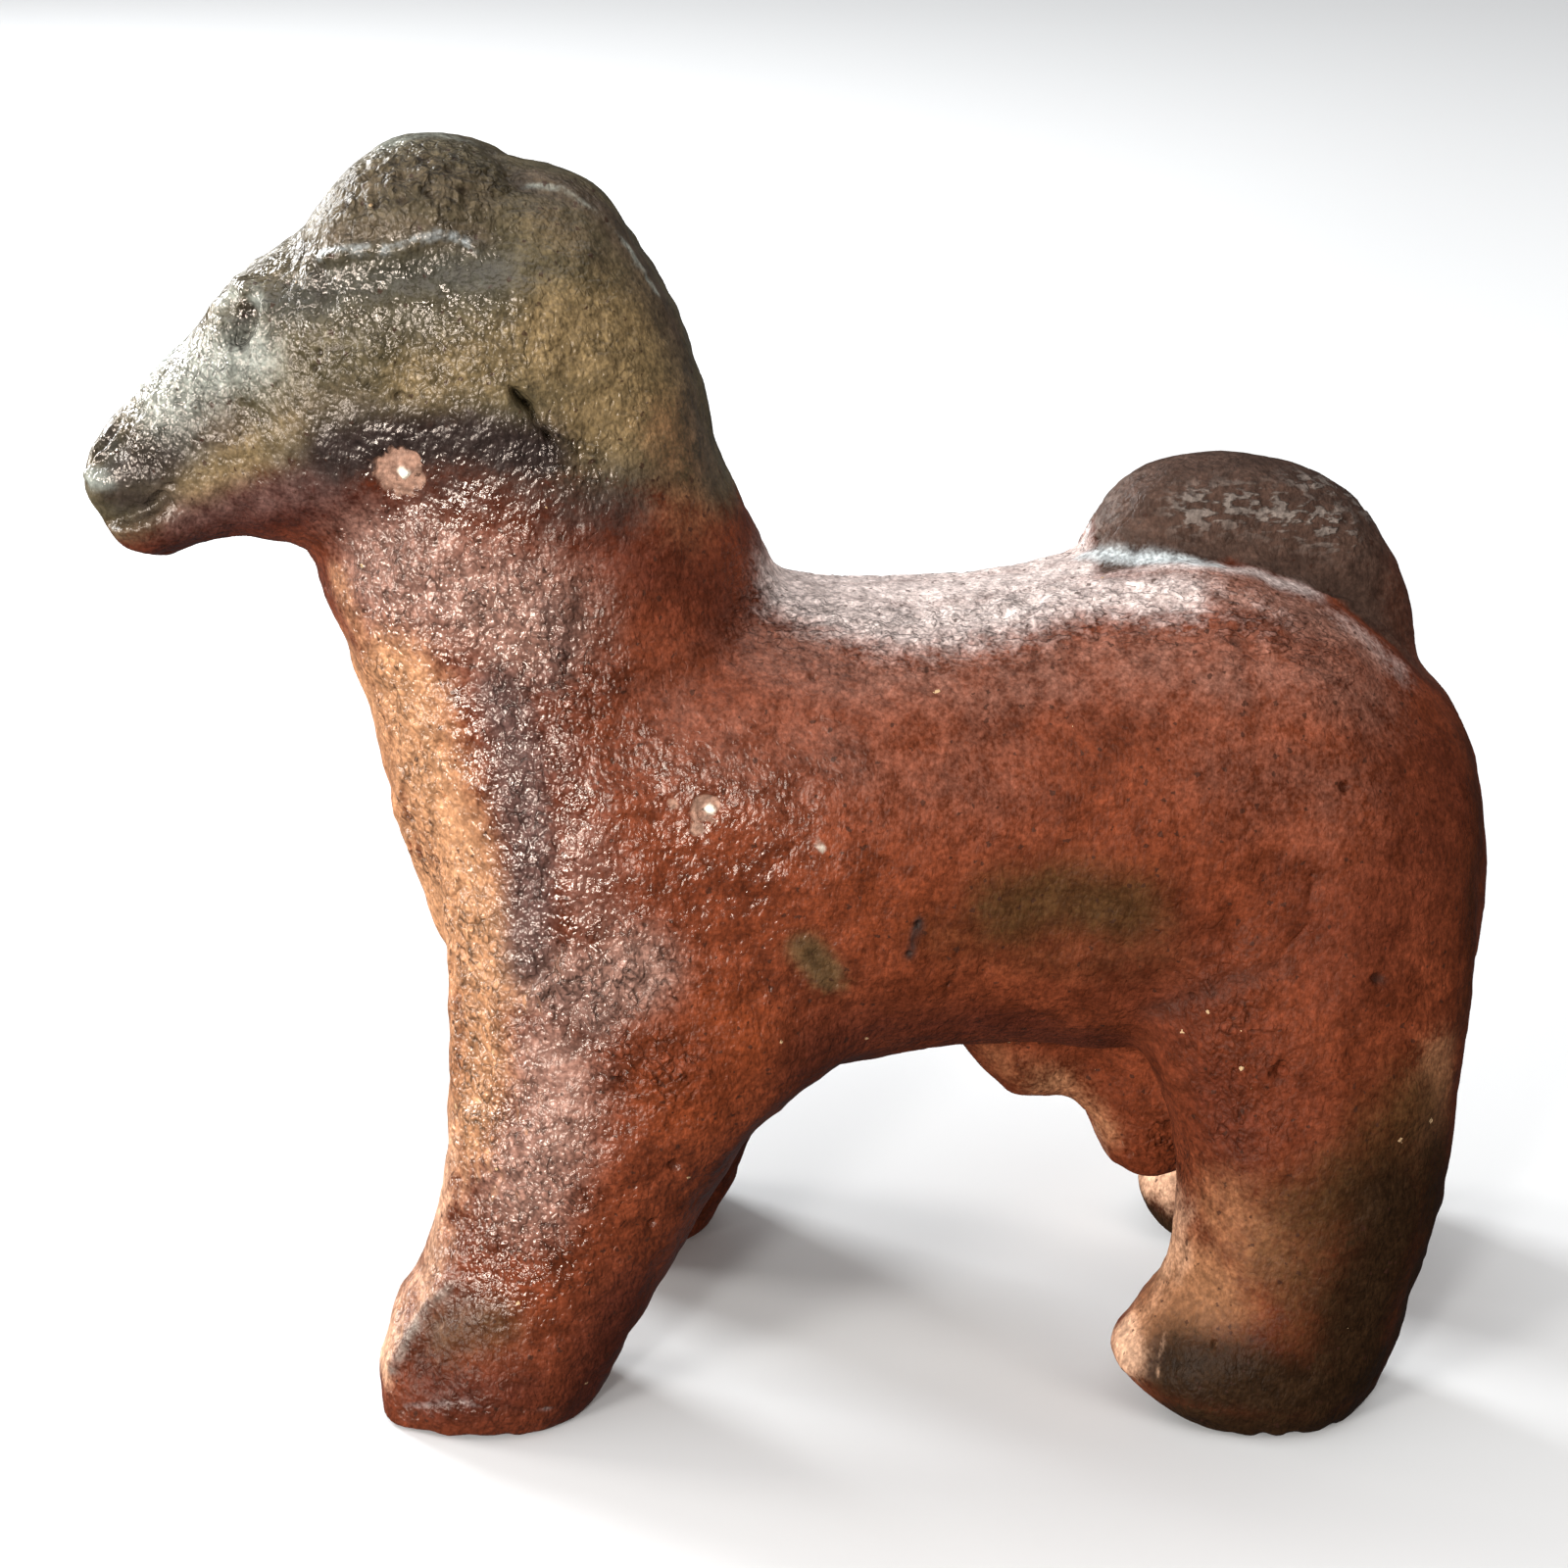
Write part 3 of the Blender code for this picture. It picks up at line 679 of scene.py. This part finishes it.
finishes["matt"] = np.maximum.reduce([
    0.85 * rear_half,
    0.95 * low_far_side,
    on_both([
        ([(350, 205), (410, 185), (480, 205)], 4.2, 0.4),
        ([(545, 190), (620, 240), (680, 340)], 2.4, 0.4),
        ([(640, 1350), (590, 1420)], 4.0, 0.7),
        ([(430, 1410), (480, 1370), (560, 1425)], 3.4, 0.6),
        ([(690, 1040), (720, 1100)], 5.0, 0.6),
        ([(640, 560), (700, 600), (760, 700)], 7.0, 0.6),
    ]),
])
for name, much in finishes.items():
    held = figurine.data.attributes.new(name, "FLOAT", "POINT")
    held.data.foreach_set("value", np.clip(much, 0, 1).astype(np.float32))

# The fired clay itself: red where air reached it, with every other colour, and the painted light
# and shade, laid over it.
fired_clay = bpy.data.materials.new("fired_clay")
fired_clay.use_nodes = True
tree = fired_clay.node_tree
surface = tree.nodes["Principled BSDF"]


def wired(kind, inputs, **settings):
    """A node of that kind with its settings made, its values set and its sockets joined."""
    made = tree.nodes.new(kind)
    for name, value in settings.items():
        setattr(made, name, value)
    for name, value in inputs.items():
        if isinstance(value, bpy.types.NodeSocket):
            tree.links.new(value, made.inputs[name])
        else:
            made.inputs[name].default_value = value
    return made


def reckoned(operation, first, second=0.0):
    return wired("ShaderNodeMath", {0: first, 1: second}, operation=operation).outputs[0]


def plus(first, second):
    return reckoned("ADD", first, second)


def minus(first, second):
    return reckoned("SUBTRACT", first, second)


def times(first, second):
    return reckoned("MULTIPLY", first, second)


def moved(operation, inputs):
    return wired("ShaderNodeVectorMath", inputs, operation=operation).outputs[0]


def stretched(value, low, high, to_low=0.0, to_high=1.0):
    """The value eased from the first range into the second."""
    ends = {"Value": value, "From Min": low, "From Max": high, "To Min": to_low, "To Max": to_high}
    return wired("ShaderNodeMapRange", ends, interpolation_type="SMOOTHSTEP").outputs["Result"]


def much_of(name):
    return wired("ShaderNodeAttribute", {}, attribute_name=name).outputs["Fac"]


def spread_out(size, stretch=(1, 1, 1), turn=(0, 0, 0)):
    """Places in the clay in units of that many millimetres."""
    scale = [part / (size * mm) for part in stretch]
    inputs = {"Vector": in_the_clay, "Scale": scale, "Rotation": turn}
    return wired("ShaderNodeMapping", inputs).outputs["Vector"]


def cloudy_at(where, detail, roughness):
    inputs = {"Vector": where, "Scale": 1.0, "Detail": detail, "Roughness": roughness}
    return wired("ShaderNodeTexNoise", inputs).outputs["Fac"]


def cloudy(size, detail, stretch=(1, 1, 1)):
    return cloudy_at(spread_out(size, stretch), detail, 0.55)


def laid_over(below, colour, share):
    laid = wired("ShaderNodeMix", {0: share, 6: below, 7: colour}, data_type="RGBA")
    return laid.outputs[2]


def toned(below, value):
    """The colour made that many times as bright."""
    inputs = {0: 1.0, 6: below, 7: value}
    laid = wired("ShaderNodeMix", inputs, data_type="RGBA", blend_type="MULTIPLY")
    return laid.outputs[2]


in_the_clay = wired("ShaderNodeTexCoord", {}).outputs["Object"]
wide_clouds = cloudy(5.0, 2.0)
clouds = cloudy(1.6, 2.5)
lumps = cloudy(1.3, 2.0)
mottling = cloudy(0.55, 2.0)
speckle = cloudy(0.30, 1.0)
wander = moved("SCALE", {0: (1, -1.3, 0.8), "Scale": minus(lumps, 0.5)})


def strayed(size, stretch, turn, much):
    """Places in the clay, pulled about, so that no line in them stays straight."""
    pull = moved("SCALE", {0: wander, "Scale": much})
    return moved("ADD", {0: spread_out(size, stretch, turn), 1: pull})


# Fine relief, in millimetres: low lumps, higher where the clay is rubbed, pimples, a net of
# cells where the skin crazed, short creases that run down the body, and flakes of crust.
crusted = much_of("crust")
rubbed = minus(1.0, much_of("matt"))
wrinkled = times(much_of("wrinkle"), stretched(lumps, 0.36, 0.64, 0.35, 1.25))
pimples = cloudy(0.45, 2.0, stretch=(1, 1, 0.6))
drawn = cloudy_at(strayed(0.85, (1, 1, 0.6), (0, 0.35, 0), 1.2), 1.0, 0.6)
creases = stretched(reckoned("ABSOLUTE", minus(drawn, 0.5)), 0.0, 0.12)
cells = wired(
    "ShaderNodeTexVoronoi",
    {"Vector": strayed(0.70, (1, 1, 0.8), (-1.02, 0.70, 0), 1.0), "Scale": 1.0},
    feature="DISTANCE_TO_EDGE",
    voronoi_dimensions="2D",
).outputs["Distance"]
crazing = stretched(cells, 0.0, 0.26)
flakes = stretched(cloudy(0.8, 2.0, stretch=(0.65, 0.8, 1.5)), 0.47, 0.60)
crust_flakes = times(flakes, crusted)

height = times(lumps, stretched(rubbed, 0.0, 1.0, 0.16, 0.30))
for form, how_high in (
    (pimples, 0.13),
    (crazing, plus(times(wrinkled, 0.100), 0.010)),
    (creases, plus(times(wrinkled, 0.060), 0.024)),
    (crust_flakes, 0.13),
):
    height = plus(height, times(form, how_high))
bump = wired("ShaderNodeBump", {"Height": height, "Distance": 1 * mm, "Strength": 1.0})
tree.links.new(bump.outputs["Normal"], surface.inputs["Normal"])

# Colours, from the clay outwards.
red_clay = (0.150, 0.033, 0.0125, 1)
dark_red_clay = (0.096, 0.020, 0.0070, 1)
laid_colours = [
    ("ember", (0.180, 0.036, 0.010, 1)),
    ("maroon", (0.062, 0.014, 0.008, 1)),
    ("khaki", (0.086, 0.068, 0.036, 1)),
    ("umber", (0.088, 0.062, 0.040, 1)),
    ("tan", (0.200, 0.135, 0.062, 1)),
    ("buff", (0.245, 0.106, 0.048, 1)),
    ("ash_and_painted_highlight", (0.30, 0.315, 0.275, 1)),
    ("slate_and_painted_shade", (0.050, 0.049, 0.040, 1)),
    ("fawn", (0.290, 0.150, 0.112, 1)),
    ("amber_and_painted_light", (0.46, 0.225, 0.112, 1)),
    ("mauve", (0.118, 0.062, 0.052, 1)),
    ("olive", (0.056, 0.024, 0.008, 1)),
    ("smoke_and_painted_shade", (0.025, 0.016, 0.014, 1)),
    ("soot_and_painted_shade", (0.020, 0.009, 0.0035, 1)),
    ("tail_brown", (0.058, 0.032, 0.023, 1)),
    ("cream_and_painted_light", (0.56, 0.33, 0.21, 1)),
    ("bloom", (0.62, 0.51, 0.475, 1)),
    ("painted_highlight", (0.52, 0.57, 0.58, 1)),
]
tail_flake = (0.175, 0.14, 0.12, 1)
chipped_clay = (0.30, 0.165, 0.115, 1)
dark_mineral = (0.034, 0.013, 0.008, 1)
pale_mineral = (0.50, 0.33, 0.18, 1)
white_grit = (0.86, 0.80, 0.66, 1)
hollow_shade_colour = (0.016, 0.010, 0.008, 1)

# The edges of the colours waver with the clouds and the speckle, and bloom flakes off.
colour = laid_over(dark_red_clay, red_clay, stretched(wide_clouds, 0.36, 0.60))
wavering = plus(times(clouds, 1.1), times(speckle, 0.9))
wavering = times(minus(wavering, 1.0), 0.7)
edge_starts = reckoned("MAXIMUM", times(wavering, -1.0), 0.0)
edge_ends = minus(1.0, reckoned("MAXIMUM", wavering, 0.0))
shed = times(crusted, stretched(flakes, 0.0, 1.0, 0.14, 0.0))
for name, finish_colour in laid_colours:
    much = minus(much_of(name), shed) if name == "bloom" else much_of(name)
    colour = laid_over(colour, finish_colour, stretched(much, edge_starts, edge_ends))
# Painted shadow along the edges of the flakes of crust.
flake_shadows = times(times(flakes, minus(1.0, flakes)), crusted)
colour = toned(colour, minus(1.0, times(flake_shadows, 1.5)))
colour = laid_over(colour, tail_flake, times(crust_flakes, much_of("tail_brown")))
colour = laid_over(colour, chipped_clay, much_of("chip"))

# The clay is mottled at three sizes and darker in the veins of its crazing, with painted shade in
# its creases, and it holds dark and pale specks and white grits, and painted shade in the hollows
# of its marks.
for cloud, low, high, darkest, palest in (
    (clouds, 0.30, 0.70, 0.80, 1.20),
    (mottling, 0.28, 0.72, 0.78, 1.22),
    (speckle, 0.30, 0.70, 0.84, 1.16),
):
    colour = toned(colour, stretched(cloud, low, high, darkest, palest))
veins = times(minus(1.0, crazing), times(wrinkled, 0.40))
# Painted shade in the creases.
crease_shade = times(minus(1.0, creases), plus(times(wrinkled, 0.18), 0.12))
colour = toned(colour, minus(1.0, plus(veins, crease_shade)))
inputs = {"Vector": spread_out(1.15), "Scale": 1.0, "Randomness": 1.0}
specks = wired("ShaderNodeTexVoronoi", inputs)
speck_size = wired("ShaderNodeSeparateColor", {"Color": specks.outputs["Color"]})
from_speck = plus(specks.outputs["Distance"], times(minus(speckle, 0.5), 0.45))
dark_speck = reckoned("LESS_THAN", from_speck, times(speck_size.outputs["Red"], 0.19))
pale_size = times(minus(speck_size.outputs["Green"], 0.984), 13.0)
pale_speck = reckoned("LESS_THAN", from_speck, pale_size)
colour = laid_over(colour, dark_mineral, times(dark_speck, 0.70))
colour = laid_over(colour, pale_mineral, pale_speck)
colour = laid_over(colour, white_grit, much_of("grit"))
# Painted shade in the hollows of the marks, the deeper the darker.
colour = laid_over(colour, hollow_shade_colour, times(much_of("hollow_shade"), 0.92))
tree.links.new(colour, surface.inputs["Base Color"])

# Rubbed clay shines, while crust, chips, bloom, soot and the painted shade on the rump are dull.
dull = much_of("matt")
for name, dullness in (("chip", 1.0), ("bloom", 0.75), ("crust", 0.6), ("soot_and_painted_shade", 0.8)):
    dull = reckoned("MAXIMUM", dull, times(much_of(name), dullness))
shine = much_of("shine")
roughness = plus(stretched(clouds, 0.3, 0.7, 0.30, 0.40), times(dull, 0.25))
roughness = minus(roughness, times(shine, 0.15))
tree.links.new(roughness, surface.inputs["Roughness"])
gloss = times(minus(1.0, times(dull, 0.85)), 0.39)
gloss = plus(gloss, times(shine, 0.28))
tree.links.new(gloss, surface.inputs["Specular IOR Level"])
surface.inputs["IOR"].default_value = 1.5
surface.inputs["Specular Tint"].default_value = (1.0, 0.86, 0.76, 1)

figurine.data.transform(Matrix.Scale(mm, 4))
figurine.data.materials.clear()
figurine.data.materials.append(fired_clay)
figurine.data.shade_smooth()
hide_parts("ram_figurine")
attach(figurine, "root")

# Floor. A plain white sheet that the figurine stands on. It is kept out of the clay's
# reflections, and throws no light back on it.
floor_half = 3.0
floor_shape = bmesh.new()
bmesh.ops.create_grid(floor_shape, x_segments=1, y_segments=1, size=floor_half)
floor_mesh = bpy.data.meshes.new("floor")
floor_shape.to_mesh(floor_mesh)
floor_shape.free()
floor = bpy.data.objects.new("floor", floor_mesh)
scene.collection.objects.link(floor)
white_sheet = bpy.data.materials.new("white_sheet")
white_sheet.use_nodes = True
sheet_surface = white_sheet.node_tree.nodes["Principled BSDF"]
sheet_surface.inputs["Base Color"].default_value = (0.74, 0.74, 0.74, 1)
sheet_surface.inputs["Roughness"].default_value = 0.9
floor_mesh.materials.append(white_sheet)
floor.visible_glossy = False
floor.visible_diffuse = False

# Light. A soft window and a lamp at the left in front, a doorway and a higher window at the
# left behind, a weak fill from the right, and a wide ceiling in a dim, pale room.
middle = Vector((0, 0, 0.045))


def soft_light(name, place, size, power, tint):
    """A square of light that faces the middle of the figurine."""
    data = bpy.data.lights.new(name, "AREA")
    data.size = size
    data.energy = power
    data.color = tint
    made = bpy.data.objects.new(name, data)
    scene.collection.objects.link(made)
    made.location = place
    aim = middle - made.location
    made.rotation_euler = aim.to_track_quat("-Z", "Y").to_euler()
    return made


soft_light("window", (-0.55, -0.50, 0.125), 0.15, 6.2, (1.0, 0.98, 0.95))
soft_light("lamp", (-0.24, -0.60, 0.19), 0.08, 2.5, (1.0, 0.99, 0.97))
fill = soft_light("fill", (0.60, -0.50, 0.40), 0.40, 2.6, (1.0, 0.95, 0.90))
fill.visible_glossy = False
soft_light("doorway", (-0.62, 0.16, 0.14), 0.16, 3.0, (1.0, 0.98, 0.95))
soft_light("behind", (-0.50, 0.46, 0.30), 0.22, 6.2, (0.95, 0.98, 1.0))
soft_light("ceiling", (0.0, 0.1, 1.5), 2.2, 24.0, (0.98, 0.99, 1.0))
room = bpy.data.worlds.new("room")
scene.world = room
room.use_nodes = True
room_walls = room.node_tree.nodes["Background"]
room_walls.inputs["Color"].default_value = (0.93, 0.95, 1.0, 1)
room_walls.inputs["Strength"].default_value = 0.09
scene.view_settings.view_transform = "Standard"
